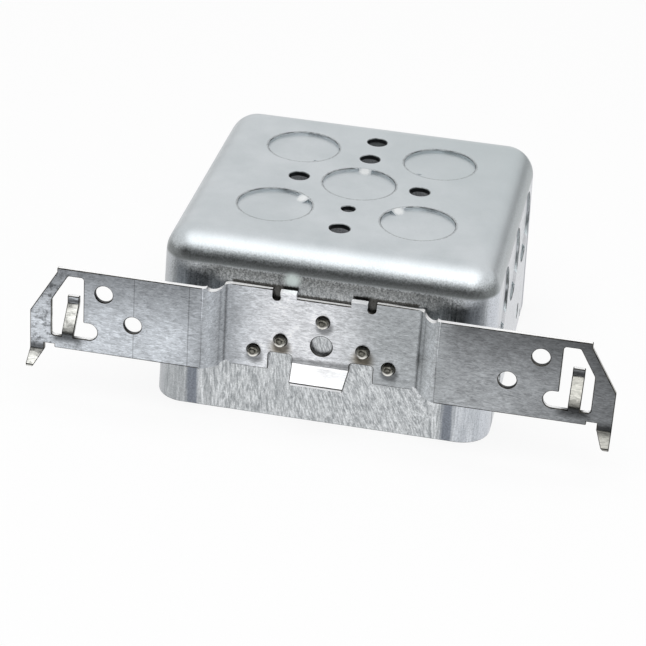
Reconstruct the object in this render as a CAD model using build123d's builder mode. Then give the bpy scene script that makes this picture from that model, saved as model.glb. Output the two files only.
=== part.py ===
"""Four-inch square drawn steel outlet box with a riveted stud bracket.

Frame: millimetres, the open front rim lies on Z = 0 and the box stands on it, back panel up.
The origin is the centre of the opening. The bracket is riveted to the wall on the -Y side and
its two arms run along X.
"""
import os
from math import cos, radians, sin, sqrt

from build123d import *

# Drawn box
box_width = 101.6
inside_depth = 54.0
wall = 1.6
draft_angle = 1.3
corner_radius = 9.2

# Knockouts: discs sunk by half the wall, each held by one sloping tie
knockout_diameter = 22.2
knockout_step = 0.8
tie_width = 4.0
tie_slope_length = 2.6
back_knockout_spacing = 43.5
side_knockout_spacing = 27.0
side_knockout_drop = 20.1
side_tie_angle = -51.0

# Holes in the back panel
screw_hole_diameter = 6.2
inner_hole_distance = 18.8
outer_hole_distance = 32.1
ground_hole_diameter = 4.2
ground_hole_distance = 18.3

# Nail holes near the rim of the two side walls
nail_hole_diameter = 4.8
nail_hole_spacing = 44.0
nail_hole_height = 8.0

# Ears for the cover screws, turned in at two opposite corners of the rim
ear_hole_inset = 12.7
ear_hole_diameter = 3.5
ear_nose_radius = 6.0
ear_reach = 17.8
ear_slit_width = 1.5
ear_slit_depth = 3.2

# Stud bracket: one folded strip, measured along and up the wall that it is riveted to
sheet = 1.5
bend_radius = 1.0
bracket_low = 16.2
bracket_height = 26.4
arm_offset = 5.8
joggle_start = 28.6
joggle_run = 6.2
top_relief_radius = 2.4
top_relief_depth = 1.6
low_relief_radius = 1.5
low_relief_depth = 1.2
arm_reach = 86.9
arm_slant_run = 8.2
arm_slant_drop = 15.0
arm_top_drop = 1.4

# Barbed spur at the lower outer corner of each arm
spur_width = 4.4
spur_notch_width = 3.1
spur_notch_depth = 1.1
spur_knee_drop = 2.2
spur_length = 5.6
spur_angle = 54.0
spur_tip_width = 1.6

# L-shaped window in each arm, placed from the end of the arm, with its spring tongue
window_inset = 16.3
window_top_width = 4.8
window_knee_width = 9.7
window_top_gap = 2.3
window_knee_drop = 10.6
window_bottom_gap = 4.1
window_leg_reach = 4.3
window_leg_height = 5.4
window_corner = 0.9
tongue_width = 3.65
tongue_gap = 3.0
tongue_lean = 6.0
tongue_root = 1.0
tongue_rise = 7.2
tongue_tip = 2.3

# Screw holes in the arms, placed from the end of the arm
arm_hole_diameter = 5.3
low_arm_hole_inset = 31.35
low_arm_hole_height = 11.0
high_arm_hole_inset = 22.45
high_arm_hole_height = 19.8

# Centre of the bracket: hole, cut-outs, stop ledge and top lugs
centre_hole_diameter = 6.35
centre_hole_height = 10.0
cutout_inner = 8.65
cutout_width = 7.0
cutout_height = 5.8
cutout_corner = 1.0
ledge_root_height = 3.2
ledge_length = 6.9
ledge_slope = 30.0
ledge_tip_inset = 0.8
lug_inner = 8.1
lug_width = 4.8
lug_root_drop = 3.0
lug_length = 3.0
lug_lean = 20.0
lug_relief_width = 2.3
lug_relief_depth = 3.3
saddle_drop = 2.1

# Rivets
rivet_diameter = 3.8
rivet_clearance = 0.1
rivet_head_diameter = 7.0
rivet_head_height = 1.2
rivet_end_height = 2.0
rivet_outer_place = (20.2, 5.7)
rivet_inner_place = (12.3, 10.1)
rivet_top_height = 17.9

# Sizes that follow from those above
box_height = inside_depth + wall
half_width = box_width / 2
knockout_radius = knockout_diameter / 2
tie_chord = sqrt(knockout_radius**2 - (tie_width / 2) ** 2)
bracket_top = bracket_low + bracket_height
arm_front = arm_offset + sheet
arm_top_reach = arm_reach - arm_slant_run
window_inner = arm_reach - window_inset
joggle_end = joggle_start + joggle_run
joggle_middle = joggle_start + joggle_run / 2
cutout_middle = cutout_inner + cutout_width / 2
rivet_hole_radius = rivet_diameter / 2 + rivet_clearance / 2
wall_cut = 2 * wall
strip_cut = arm_front + sheet
both_sides = (-1, 1)


def wall_plane(turn):
    """Outside face of the wall reached by turning about Z from the bracket's wall: x along it, y up it."""
    lean = radians(draft_angle)
    outward = Vector(0, -cos(lean), sin(lean)).rotate(Axis.Z, turn)
    along = Vector(1, 0, 0).rotate(Axis.Z, turn)
    foot = Vector(0, -half_width, 0).rotate(Axis.Z, turn)
    return Plane(origin=foot, x_dir=along, z_dir=outward)


def seat_on(face, across, up, tie_angle):
    """Plane on a face, at a place on it, whose x axis points at the knockout's tie."""
    turn = radians(tie_angle)
    direction = face.x_dir * cos(turn) + face.y_dir * sin(turn)
    return Plane(origin=face.from_local_coords((across, up, 0)), x_dir=direction, z_dir=face.z_dir)


def bent_section(face, across):
    """Plane square to the bracket's wall at one place along it: x points out of the wall, y up it."""
    return Plane(origin=face.from_local_coords((across, 0, 0)), x_dir=face.z_dir, z_dir=-face.x_dir)


bracket_face = wall_plane(0)
right_face = wall_plane(90)
far_face = wall_plane(180)
left_face = wall_plane(270)
back_face = Plane.XY.offset(box_height)

half_spacing = back_knockout_spacing / 2
knockout_seats = [seat_on(back_face, 0, 0, 90)]
for side_x in both_sides:
    for side_y in both_sides:
        knockout_seats.append(
            Plane(
                origin=back_face.from_local_coords((side_x * half_spacing, side_y * half_spacing, 0)),
                x_dir=(-side_x, -side_y, 0),
                z_dir=back_face.z_dir,
            )
        )
for face in (right_face, far_face, left_face):
    for step in (-1, 0, 1):
        knockout_seats.append(
            seat_on(face, step * side_knockout_spacing, box_height - side_knockout_drop, side_tie_angle)
        )
tie_sections = [
    Plane(origin=seat.origin, x_dir=seat.x_dir, z_dir=seat.x_dir.cross(seat.z_dir)) for seat in knockout_seats
]

rivet_places = [(0, bracket_low + rivet_top_height)]
for side in both_sides:
    rivet_places.append((side * rivet_outer_place[0], bracket_low + rivet_outer_place[1]))
    rivet_places.append((side * rivet_inner_place[0], bracket_low + rivet_inner_place[1]))


# Box shell: drawn cup with knockouts, holes and two ears
with BuildPart() as box_shell:
    with BuildSketch():
        Rectangle(box_width, box_width)
    extrude(amount=box_height, taper=draft_angle)
    rim = box_shell.faces().sort_by(Axis.Z)[0]
    fillet(box_shell.edges() - rim.edges(), corner_radius)
    offset(amount=-wall, openings=box_shell.faces().sort_by(Axis.Z)[0])

    ear_planes = [Plane.XY, Plane.XY.rotated((0, 0, 180))]
    ear_hole = (half_width - ear_hole_inset, half_width - ear_hole_inset)
    with BuildSketch(*ear_planes):
        with BuildLine():
            Line((half_width - ear_reach, half_width), (half_width, half_width))
            Line((half_width, half_width), (half_width, half_width - ear_reach))
            CenterArc(ear_hole, ear_nose_radius, 0, 360)
        make_hull()
        RectangleRounded(box_width - wall, box_width - wall, corner_radius - wall / 2, mode=Mode.INTERSECT)
        with Locations(ear_hole):
            Circle(ear_hole_diameter / 2, mode=Mode.SUBTRACT)
    extrude(amount=wall)
    slit_place = half_width - ear_reach - ear_slit_width / 2
    with BuildSketch(*ear_planes):
        with Locations((half_width, slit_place)):
            Rectangle(2 * wall_cut, ear_slit_width)
    extrude(amount=ear_slit_depth, mode=Mode.SUBTRACT)

    with Locations(*knockout_seats):
        Cylinder(
            knockout_radius,
            knockout_step,
            align=(Align.CENTER, Align.CENTER, Align.MAX),
            mode=Mode.SUBTRACT,
        )
    with BuildSketch(*tie_sections):
        with BuildLine():
            Polyline(
                (knockout_radius, 0),
                (knockout_radius, -knockout_step),
                (tie_chord - tie_slope_length, -knockout_step),
                (tie_chord, 0),
                close=True,
            )
        make_face()
    extrude(amount=tie_width / 2, both=True)

    with BuildSketch(back_face):
        with Locations(
            (-inner_hole_distance, 0),
            (inner_hole_distance, 0),
            (0, inner_hole_distance),
            (0, outer_hole_distance),
            (0, -outer_hole_distance),
        ):
            Circle(screw_hole_diameter / 2)
        with Locations((0, -ground_hole_distance)):
            Circle(ground_hole_diameter / 2)
    extrude(amount=-wall_cut, mode=Mode.SUBTRACT)

    with BuildSketch(left_face, right_face):
        for side in both_sides:
            with Locations((side * nail_hole_spacing / 2, nail_hole_height)):
                Circle(nail_hole_diameter / 2)
    extrude(amount=-wall_cut, mode=Mode.SUBTRACT)

    with BuildSketch(bracket_face):
        with Locations(*rivet_places):
            Circle(rivet_hole_radius)
    extrude(amount=-wall_cut, mode=Mode.SUBTRACT)

box_shell.part.label = "box_shell"


# Stud bracket: joggled strip trimmed to its front outline, with its bent tabs
with BuildPart() as stud_bracket:
    strip_plane = Plane(
        origin=bracket_face.from_local_coords((0, bracket_low, 0)),
        x_dir=bracket_face.x_dir,
        z_dir=bracket_face.y_dir,
    )
    with BuildSketch(strip_plane):
        with BuildLine():
            FilletPolyline(
                (-arm_reach, -arm_offset),
                (-joggle_end, -arm_offset),
                (-joggle_start, 0),
                (joggle_start, 0),
                (joggle_end, -arm_offset),
                (arm_reach, -arm_offset),
                radius=[bend_radius, bend_radius + sheet, bend_radius + sheet, bend_radius],
            )
            offset(amount=sheet, side=Side.RIGHT)
        make_face()
    extrude(amount=bracket_height)

    with BuildSketch(bracket_face):
        for side in both_sides:
            with BuildLine():
                Polyline(
                    (0, bracket_top - saddle_drop),
                    (side * lug_inner, bracket_top - saddle_drop),
                    (side * lug_inner, bracket_top - lug_root_drop),
                    (side * (lug_inner + lug_width), bracket_top - lug_root_drop),
                    (side * (lug_inner + lug_width), bracket_top),
                    (side * arm_top_reach, bracket_top),
                    (side * arm_top_reach, bracket_top - arm_top_drop),
                    (side * arm_reach, bracket_top - arm_slant_drop),
                    (side * arm_reach, bracket_low + spur_notch_depth),
                    (side * (arm_reach - spur_width - spur_notch_width), bracket_low + spur_notch_depth),
                    (side * (arm_reach - spur_width - spur_notch_width), bracket_low),
                    (side * cutout_middle, bracket_low),
                    (side * cutout_middle, bracket_low + ledge_root_height),
                    (0, bracket_low + ledge_root_height),
                    close=True,
                )
            make_face()
        for side in both_sides:
            with Locations((side * cutout_middle, bracket_low)):
                RectangleRounded(cutout_width, 2 * cutout_height, cutout_corner, mode=Mode.SUBTRACT)
            relief_place = side * (lug_inner + lug_width + lug_relief_width / 2)
            relief_floor = bracket_top - lug_relief_depth + lug_relief_width / 2
            with Locations((relief_place, relief_floor)):
                Circle(lug_relief_width / 2, mode=Mode.SUBTRACT)
                Rectangle(
                    lug_relief_width,
                    lug_relief_depth,
                    align=(Align.CENTER, Align.MIN),
                    mode=Mode.SUBTRACT,
                )
            with Locations((side * joggle_middle, bracket_top + top_relief_radius - top_relief_depth)):
                Circle(top_relief_radius, mode=Mode.SUBTRACT)
            with Locations((side * joggle_start, bracket_low - low_relief_radius + low_relief_depth)):
                Circle(low_relief_radius, mode=Mode.SUBTRACT)
            with Locations(
                (side * (arm_reach - low_arm_hole_inset), bracket_low + low_arm_hole_height),
                (side * (arm_reach - high_arm_hole_inset), bracket_low + high_arm_hole_height),
            ):
                Circle(arm_hole_diameter / 2, mode=Mode.SUBTRACT)
        with Locations((0, bracket_low + centre_hole_height)):
            Circle(centre_hole_diameter / 2, mode=Mode.SUBTRACT)
        with Locations(*rivet_places):
            Circle(rivet_hole_radius, mode=Mode.SUBTRACT)
    extrude(amount=strip_cut, mode=Mode.INTERSECT)

    for side in both_sides:
        window_low = bracket_low + window_bottom_gap
        window_top = bracket_top - window_top_gap
        with BuildSketch(bracket_face) as window:
            with BuildLine():
                Polyline(
                    (side * window_inner, window_low),
                    (side * window_inner, window_top),
                    (side * (window_inner + window_top_width), window_top),
                    (side * (window_inner + window_knee_width), bracket_top - window_knee_drop),
                    (side * (window_inner + window_knee_width), window_low),
                    close=True,
                )
            make_face()
            fillet(window.vertices(), window_corner)
            with Locations((side * window_inner, window_low)):
                Rectangle(
                    2 * (window_leg_reach - window_leg_height / 2),
                    window_leg_height,
                    align=(Align.CENTER, Align.MIN),
                )
            leg_end = window_inner - window_leg_reach + window_leg_height / 2
            with Locations((side * leg_end, window_low + window_leg_height / 2)):
                Circle(window_leg_height / 2)
        extrude(amount=strip_cut, mode=Mode.SUBTRACT)

        tongue_place = side * (window_inner + tongue_gap + tongue_width / 2)
        with BuildSketch(bent_section(bracket_face, tongue_place)):
            with BuildLine():
                FilletPolyline(
                    (arm_front, window_low - tongue_root),
                    (arm_front, window_low + tongue_root),
                    (arm_front - tongue_lean, window_low + tongue_root + tongue_rise),
                    (arm_front - tongue_lean, window_low + tongue_root + tongue_rise + tongue_tip),
                    radius=[bend_radius + sheet, bend_radius],
                )
                offset(amount=sheet, side=Side.LEFT)
            make_face()
        extrude(amount=tongue_width / 2, both=True)

        knee = bracket_low + spur_notch_depth - spur_knee_drop
        with BuildSketch(bent_section(bracket_face, side * (arm_reach - spur_width / 2))):
            with BuildLine():
                FilletPolyline(
                    (arm_front, bracket_low + 2 * spur_notch_depth),
                    (arm_front, knee),
                    (
                        arm_front + spur_length * sin(radians(spur_angle)),
                        knee - spur_length * cos(radians(spur_angle)),
                    ),
                    radius=bend_radius,
                )
                offset(amount=sheet, side=Side.RIGHT)
            make_face()
        extrude(amount=spur_width / 2, both=True)
        spur_tip = knee - spur_length * cos(radians(spur_angle)) - sheet
        with BuildSketch(bracket_face):
            with BuildLine():
                Polyline(
                    (side * (arm_reach - spur_width), knee),
                    (side * (arm_reach - spur_tip_width), spur_tip),
                    (side * (arm_reach - spur_width), spur_tip),
                    close=True,
                )
            make_face()
        extrude(amount=strip_cut + spur_length, mode=Mode.SUBTRACT)

        with BuildSketch(bent_section(bracket_face, side * (lug_inner + lug_width / 2))):
            with BuildLine():
                FilletPolyline(
                    (sheet, bracket_top - 2 * lug_root_drop),
                    (sheet, bracket_top - lug_root_drop),
                    (
                        sheet + lug_length * sin(radians(lug_lean)),
                        bracket_top - lug_root_drop + lug_length * cos(radians(lug_lean)),
                    ),
                    radius=bend_radius,
                )
                offset(amount=sheet, side=Side.LEFT)
            make_face()
        extrude(amount=lug_width / 2, both=True)

    ledge_root = bracket_low + ledge_root_height
    ledge_tip = ledge_root - ledge_length * sin(radians(ledge_slope))
    with BuildSketch(bent_section(bracket_face, 0)):
        with BuildLine():
            FilletPolyline(
                (sheet, ledge_root + sheet),
                (sheet, ledge_root),
                (sheet + ledge_length * cos(radians(ledge_slope)), ledge_tip),
                radius=bend_radius,
            )
            offset(amount=sheet, side=Side.RIGHT)
        make_face()
    extrude(amount=cutout_inner, both=True)
    for side in both_sides:
        with BuildSketch(bracket_face):
            with BuildLine():
                Polyline(
                    (side * cutout_inner, ledge_root),
                    (side * (cutout_inner - ledge_tip_inset), ledge_tip - sheet),
                    (side * cutout_inner, ledge_tip - sheet),
                    close=True,
                )
            make_face()
        extrude(amount=sheet + ledge_length, mode=Mode.SUBTRACT)

stud_bracket.part.label = "stud_bracket"


# Rivet: flat head inside the box, shank through both sheets, blunt end standing out of the bracket
with BuildPart() as rivet:
    with BuildSketch(Plane.XZ):
        with BuildLine():
            Polyline(
                (0, -wall - rivet_head_height),
                (rivet_head_diameter / 2, -wall - rivet_head_height),
                (rivet_head_diameter / 2, -wall),
                (rivet_diameter / 2, -wall),
                (rivet_diameter / 2, sheet + rivet_end_height),
                (0, sheet + rivet_end_height),
                close=True,
            )
        make_face()
    revolve(axis=Axis.Z)

with BuildPart(bracket_face) as bracket_rivets:
    with Locations(*rivet_places):
        add(rivet.part)

bracket_rivets.part.label = "bracket_rivets"


os.makedirs("parts", exist_ok=True)
export_step(box_shell.part, "parts/box_shell.step")
export_step(stud_bracket.part, "parts/stud_bracket.step")
export_step(bracket_rivets.part, "parts/bracket_rivets.step")
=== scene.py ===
"""Dresses the square steel outlet box: rounded sheet edges, galvanised finishes, rivets and a studio."""
from functools import partial
from math import cos, hypot, radians, sin

import bmesh
import bpy
from bpy.props import FloatProperty, FloatVectorProperty, PointerProperty
from mathutils import Matrix, Vector


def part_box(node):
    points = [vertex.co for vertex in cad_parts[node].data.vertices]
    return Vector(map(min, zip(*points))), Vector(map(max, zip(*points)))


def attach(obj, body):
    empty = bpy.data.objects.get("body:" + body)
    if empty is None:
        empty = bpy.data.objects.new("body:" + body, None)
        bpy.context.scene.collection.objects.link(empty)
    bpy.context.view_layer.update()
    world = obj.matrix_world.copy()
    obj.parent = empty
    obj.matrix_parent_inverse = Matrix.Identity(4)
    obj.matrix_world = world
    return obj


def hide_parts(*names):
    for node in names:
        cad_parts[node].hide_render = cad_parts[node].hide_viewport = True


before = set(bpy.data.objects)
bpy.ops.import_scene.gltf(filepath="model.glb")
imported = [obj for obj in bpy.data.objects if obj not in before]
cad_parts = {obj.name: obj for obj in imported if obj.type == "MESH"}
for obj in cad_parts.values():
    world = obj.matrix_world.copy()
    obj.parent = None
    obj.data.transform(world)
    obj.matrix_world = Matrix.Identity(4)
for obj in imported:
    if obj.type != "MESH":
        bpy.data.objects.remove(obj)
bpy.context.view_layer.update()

bl_info = {
    "name": "Outlet Box Dresser",
    "version": (1, 0, 0),
    "blender": (4, 5, 0),
    "location": "3D View > Sidebar > Outlet Box",
    "description": "Builds the finished look of a square steel outlet box over its CAD frame",
    "category": "Object",
}

MM = 0.001

# Mesh work: points this close are one, faces this level are one, and turns sharper than these are edges
MERGE = 0.001 * MM
LEVEL = radians(0.5)
SHEET_EDGE = radians(35)
TURNED_EDGE = radians(30)

# Turned pieces: steps round each, degrees of a step over a dome, and the seed of their lean
TURNED_STEPS = 48
DOME_STEP = 15
LEAN_SEED = 3

# Box sizes that the finishes and the added pieces follow
HALF_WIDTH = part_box("box_shell")[1][0]
BOX_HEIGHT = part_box("box_shell")[1][2]
WALL = 1.6 * MM
DRAFT = radians(1.3)

# Knockouts: places on the back, and turn about Z and place along the wall of those on three walls
KNOCKOUT_RADIUS = 11.1 * MM
KNOCKOUT_STEP = 0.8 * MM
BACK_SPACING = 43.5 * MM
SIDE_SPACING = 27.0 * MM
SIDE_HEIGHT = BOX_HEIGHT - 20.1 * MM
CORNER_KNOCKOUTS = [(x * BACK_SPACING / 2, y * BACK_SPACING / 2) for x in (-1, 1) for y in (-1, 1)]
BACK_KNOCKOUTS = [(0.0, 0.0), *CORNER_KNOCKOUTS]
SIDE_KNOCKOUTS = [(radians(90) * turn, step * SIDE_SPACING) for turn in (1, 2, 3) for step in (-1, 0, 1)]

# Ties that hold the knockouts: those on the back point at its middle, but for the middle knockout's
TIE_REACH = 9.9 * MM
TIE_ZONE = 3.3 * MM
SIDE_TIE = radians(-51)
BACK_TIES = [(0.0, TIE_REACH)]
BACK_TIES += [
    (x - TIE_REACH * x / hypot(x, y), y - TIE_REACH * y / hypot(x, y)) for x, y in CORNER_KNOCKOUTS
]
BRIGHT_TIES = [(x, y) for x, y in BACK_TIES if y < 0 or x == 0]

# Holes through the back, the smallest for a ground screw
BACK_HOLES = [(0.0, -32.1 * MM), (0.0, 32.1 * MM), (-18.8 * MM, 0.0), (18.8 * MM, 0.0), (0.0, 18.8 * MM)]
BACK_HOLE_RADIUS = 3.1 * MM
GROUND_HOLE = (0.0, -18.3 * MM)
GROUND_HOLE_RADIUS = 2.1 * MM

# Walls: start of the shoulder over them, bands of painted dark reflection beside their corners, and where
# streaks crumple
SHOULDER_START = 40.4 * MM
DARK_BAND_PLACE = 38.6 * MM
CRUMPLED_RUN = (-18 * MM, 8 * MM)

# Pale patch, and patches of painted dark reflection, on the bracket's wall, by their places along and up it
OXIDE_PLACE = (-10.0 * MM, 45.5 * MM)
REFLECTION_PATCHES = [(29.0 * MM, 43.0 * MM), (33.0 * MM, 43.0 * MM)]

# Bracket: places along and up the wall that it is riveted to
SHEET = 1.5 * MM
BRACKET_LOW = 16.2 * MM
BRACKET_TOP = 42.6 * MM
JOGGLE_START = 28.6 * MM
JOGGLE_REACH = (27.0 * MM, 35.3 * MM)
LUG_REACH = (7.9 * MM, 13.1 * MM)
LUG_FOOT = BRACKET_TOP - 7.0 * MM
SADDLE_DROP = 2.1 * MM
SADDLE_HALF_WIDTH = 8.1 * MM
RELIEF_PLACE = 14.05 * MM
RELIEF_RADIUS = 1.15 * MM
RELIEF_MIDDLES = [(side * RELIEF_PLACE, BRACKET_TOP - 1.8 * MM) for side in (-1, 1)]
RELIEF_FLOORS = [(side * RELIEF_PLACE, BRACKET_TOP - 2.15 * MM) for side in (-1, 1)]
CENTRE_HOLE = (0.0, BRACKET_LOW + 10.0 * MM)
CENTRE_HOLE_RADIUS = 3.175 * MM
ARM_HOLES = [(side * 64.45 * MM, 36.1 * MM) for side in (-1, 1)]
ARM_HOLES += [(side * 55.55 * MM, 27.3 * MM) for side in (-1, 1)]
ARM_HOLE_RADIUS = 2.65 * MM
SCORE_LINES = (-55.3 * MM, -38.8 * MM)
LEAN_TINT_START = 70.0 * MM

# Where the strip's tone, with its painted light and shade, changes along it: towards its middle, right of
# that and towards its right arm
STRIP_FADES = [(-32 * MM, -10 * MM), (-4 * MM, 20 * MM), (30 * MM, 44 * MM)]

# Bends of the bracket that lie level, by their middle, half width and height
LEDGE_BEND = (0.0, 8.65 * MM, 20.6 * MM)
TONGUE_ROOT = (75.4 * MM, 2.1 * MM, 20.8 * MM)
TONGUE_BEND = (75.4 * MM, 2.1 * MM, 29.3 * MM)
SPUR_BEND = (84.7 * MM, 2.4 * MM, 15.8 * MM)

# Rivets that hold the bracket
INNER_RIVETS = [(side * 12.3 * MM, BRACKET_LOW + 10.1 * MM) for side in (-1, 1)]
OUTER_RIVETS = [(side * 20.2 * MM, BRACKET_LOW + 5.7 * MM) for side in (-1, 1)]
RIVET_PLACES = [(0.0, BRACKET_LOW + 17.9 * MM), *INNER_RIVETS, *OUTER_RIVETS]

# Widths of the patterns, in millimetres. Specks, streaks and grain are drawn as coarse as they need to show.
SPECK_WIDTH = 0.5
STREAK_WIDTH = 0.62
CLOUD_WIDTH = 15
GRAIN_WIDTH = 0.42
PEBBLE_WIDTH = 0.95
BLOTCH_WIDTH = 7
SCUFF_WIDTH = 2.2
TORN_WIDTH = 2.5
RIVET_SPECK_WIDTH = 0.7

# Camera of the photograph: its angles, its place, and its lens in millimetres on a 36 mm sensor
CAMERA_AZIMUTH = radians(9.423)
CAMERA_ELEVATION = radians(28.598)
CAMERA_ROLL = radians(3.598)
CAMERA_PLACE = Vector((97.03, -636.02, 357.04)) * MM
CAMERA_LENS = 129.09

# Kinds of node that the finishes use most, and the setting of a soft fade
MATH = "ShaderNodeMath"
FADE = "ShaderNodeMapRange"
MIX = "ShaderNodeMix"
NOISE = "ShaderNodeTexNoise"
SOFT = {"interpolation_type": "SMOOTHSTEP"}


def linear(hex_colour):
    """sRGB hex colour, such as C8CCD0, as linear red, green, blue and alpha."""
    shares = [int(hex_colour[start:start + 2], 16) / 255 for start in (0, 2, 4)]
    return [s / 12.92 if s <= 0.04045 else ((s + 0.055) / 1.055) ** 2.4 for s in shares] + [1.0]


def per_mm(size):
    """Texture scale at which a pattern on Object coordinates repeats about every size millimetres."""
    return 1 / (size * MM)


def set_inputs(node, inputs):
    """Sets or links inputs of a node, given under their names or in the node's own order."""
    for key, value in inputs.items() if isinstance(inputs, dict) else enumerate(inputs):
        if isinstance(value, bpy.types.NodeSocket):
            node.id_data.links.new(value, node.inputs[key])
        else:
            node.inputs[key].default_value = value


def add_node(tree, kind, inputs=(), **settings):
    """Adds a node with its settings and inputs, and gives its first output that is in use."""
    node = tree.nodes.new(kind)
    for name, value in settings.items():
        setattr(node, name, value)
    set_inputs(node, inputs)
    return next((output for output in node.outputs if output.enabled), None)


def new_material(name):
    """New node material, what adds nodes to it, its shader, Object coordinates and their x, y and z."""
    material = bpy.data.materials.new(name)
    material.use_nodes = True
    add = partial(add_node, material.node_tree)
    coords = add("ShaderNodeTexCoord").node.outputs["Object"]
    axes = add("ShaderNodeSeparateXYZ", [coords]).node.outputs
    return material, add, material.node_tree.nodes["Principled BSDF"], coords, axes


def wall_point(turn, across, up):
    """Point and outward direction on the wall reached by turning about Z from the bracket's wall."""
    outward = Vector((0, -cos(DRAFT), sin(DRAFT)))
    rise = Vector((0, sin(DRAFT), cos(DRAFT)))
    point = Vector((across, -HALF_WIDTH, 0)) + rise * up
    spin = Matrix.Rotation(turn, 3, "Z")
    return spin @ point, spin @ outward


def tie_points():
    """Middle of every knockout's tie, on the back and on three walls."""
    points = [Vector((x, y, BOX_HEIGHT)) for x, y in BACK_TIES]
    for turn, across in SIDE_KNOCKOUTS:
        up = SIDE_HEIGHT + TIE_REACH * sin(SIDE_TIE)
        points.append(wall_point(turn, across + TIE_REACH * cos(SIDE_TIE), up)[0])
    return points


def show(piece):
    """Lets a finished piece ride on the box."""
    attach(piece, "root")


def plain_mesh(piece):
    """Turns a piece with its modifiers into a plain mesh."""
    shaped = piece.evaluated_get(bpy.context.evaluated_depsgraph_get())
    mesh = bpy.data.meshes.new_from_object(shaped)
    piece.modifiers.clear()
    piece.data = mesh


def softened_copy(node_name, piece_name, edge, keeps_sharp, face_finish, edge_finish):
    """Merged copy of a CAD node, its outer edges rounded but for those whose middle keeps_sharp names.

    The rounded edges take the edge finish, and the corners where they meet are merged again.
    """
    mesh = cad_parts[node_name].data.copy()
    mesh.name = piece_name
    if "custom_normal" in mesh.attributes:
        mesh.attributes.remove(mesh.attributes["custom_normal"])
    work = bmesh.new()
    work.from_mesh(mesh)
    bmesh.ops.remove_doubles(work, verts=work.verts, dist=MERGE)
    bmesh.ops.dissolve_limit(work, angle_limit=LEVEL, verts=work.verts, edges=work.edges)
    for face in work.faces:
        face.smooth = True
    rounded = work.edges.layers.float.new("bevel_weight_edge")
    for line in work.edges:
        if line.calc_face_angle(0) > SHEET_EDGE:
            stays = not line.is_convex or keeps_sharp((line.verts[0].co + line.verts[1].co) / 2)
            line.smooth = not stays
            line[rounded] = 0.0 if stays else 1.0
    work.to_mesh(mesh)
    work.free()
    mesh.materials.clear()
    mesh.materials.append(face_finish)
    mesh.materials.append(edge_finish)
    piece = bpy.data.objects.new(piece_name, mesh)
    bpy.context.scene.collection.objects.link(piece)
    bevel = piece.modifiers.new("Soft edges", "BEVEL")
    bevel.width = edge
    bevel.segments = 2
    bevel.limit_method = "WEIGHT"
    bevel.use_clamp_overlap = False
    bevel.material = mesh.materials.find(edge_finish.name)
    joined = piece.modifiers.new("Joined corners", "WELD")
    joined.merge_threshold = MERGE
    normals = piece.modifiers.new("Flat faces", "WEIGHTED_NORMAL")
    normals.weight = 100
    normals.keep_sharp = True
    plain_mesh(piece)
    return piece


def turned_tree(name, sizes, profile):
    """Geometry Nodes tree that turns a profile and stands a copy of it on each point, along its facing.

    A profile step is a height and a radius, each a sum of named sizes with their signs.
    """
    tree = bpy.data.node_groups.new(name, "GeometryNodeTree")
    sockets = [("Places", "Geometry"), *((size, "Float") for size in sizes)]
    sockets += [("Unevenness", "Float"), ("Finish", "Material")]
    for label, kind in sockets:
        tree.interface.new_socket(label, in_out="INPUT", socket_type="NodeSocket" + kind)
    tree.interface.new_socket("Pieces", in_out="OUTPUT", socket_type="NodeSocketGeometry")
    add = partial(add_node, tree)
    given = add("NodeGroupInput").node.outputs
    step = add("GeometryNodeInputIndex")
    outline = []
    for terms_at in (0, 1):
        switch = add("GeometryNodeIndexSwitch", {"Index": step}, data_type="FLOAT").node
        while len(switch.index_switch_items) < len(profile):
            switch.index_switch_items.new()
        for place, terms in enumerate(profile, 1):
            total = 0.0
            for size, sign in terms[terms_at].items():
                total = add(MATH, [given[size], sign, total], operation="MULTIPLY_ADD")
            tree.links.new(total, switch.inputs[place])
        outline.append(switch.outputs[0])
    height, radius = outline
    line = add("GeometryNodeMeshLine", {"Count": len(profile)})
    axis = add("GeometryNodeMeshToCurve", {"Mesh": line})
    up = add("ShaderNodeCombineXYZ", {"Z": height})
    stood = add("GeometryNodeSetPosition", {"Geometry": axis, "Position": up})
    ring = add("GeometryNodeCurvePrimitiveCircle", {"Resolution": TURNED_STEPS, "Radius": 1.0})
    turned = add(
        "GeometryNodeCurveToMesh",
        {"Curve": stood, "Profile Curve": ring, "Scale": radius, "Fill Caps": True},
    )
    facing = add("GeometryNodeInputNamedAttribute", {"Name": "facing"}, data_type="FLOAT_VECTOR")
    lean = add(
        "FunctionNodeRandomValue",
        {"Min": (-1, -1, -1), "Max": (1, 1, 1), "Seed": LEAN_SEED},
        data_type="FLOAT_VECTOR",
    )
    leant = add("ShaderNodeVectorMath", [lean, given["Unevenness"], facing], operation="MULTIPLY_ADD")
    aim = add("FunctionNodeAlignRotationToVector", {"Vector": leant}, axis="Z")
    stands = add(
        "GeometryNodeInstanceOnPoints", {"Points": given["Places"], "Instance": turned, "Rotation": aim}
    )
    real = add("GeometryNodeRealizeInstances", {"Geometry": stands})
    finished = add("GeometryNodeSetMaterial", {"Geometry": real, "Material": given["Finish"]})
    add("NodeGroupOutput", {"Pieces": finished})
    return tree


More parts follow.
